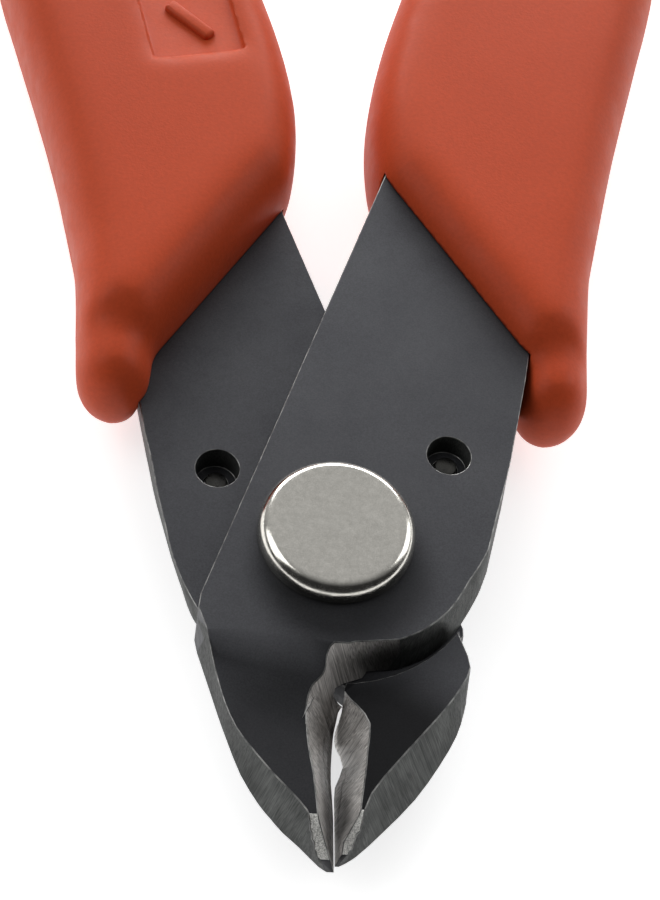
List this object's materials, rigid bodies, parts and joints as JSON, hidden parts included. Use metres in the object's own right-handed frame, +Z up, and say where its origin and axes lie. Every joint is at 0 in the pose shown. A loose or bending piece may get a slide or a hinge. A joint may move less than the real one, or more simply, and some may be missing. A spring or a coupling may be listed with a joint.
{
  "type": "flush cutter",
  "caption": "Hand flush cutter: two lapped steel halves on one rivet, ground bevelled jaws, wire return spring and moulded grips.",
  "frame": {"origin": "on the bench under the middle of the closed cutter, which lies on its back", "axes": "+Y from the jaws to the handle ends, +Z up out of the bench along the rivet, +X towards the right grip"},
  "size_m": [0.0498, 0.127, 0.0088],
  "materials": {
    "blackened_steel": "black oxide, satin, with bright ground bevels",
    "polished_steel": "polished",
    "spring_wire": "drawn wire, satin",
    "orange_grip": "soft satin moulded vinyl"
  },
  "bodies": {
    "rear": {"rear_half": "blackened_steel", "pivot_rivet": "polished_steel", "return_spring": "spring_wire", "left_grip": "orange_grip"},
    "front": {"front_half": "blackened_steel", "right_grip": "orange_grip"}
  },
  "joints": [
    {"name": "pivot", "type": "hinge", "parent": "rear", "child": "front", "pos_m": [0, -0.0463, 0.0044], "axis": [0, 0, -1], "range_deg": [0, 18], "stiffness_Nm_per_rad": 0.8, "springref_deg": 22.92, "deforming": ["return_spring"]}
  ]
}
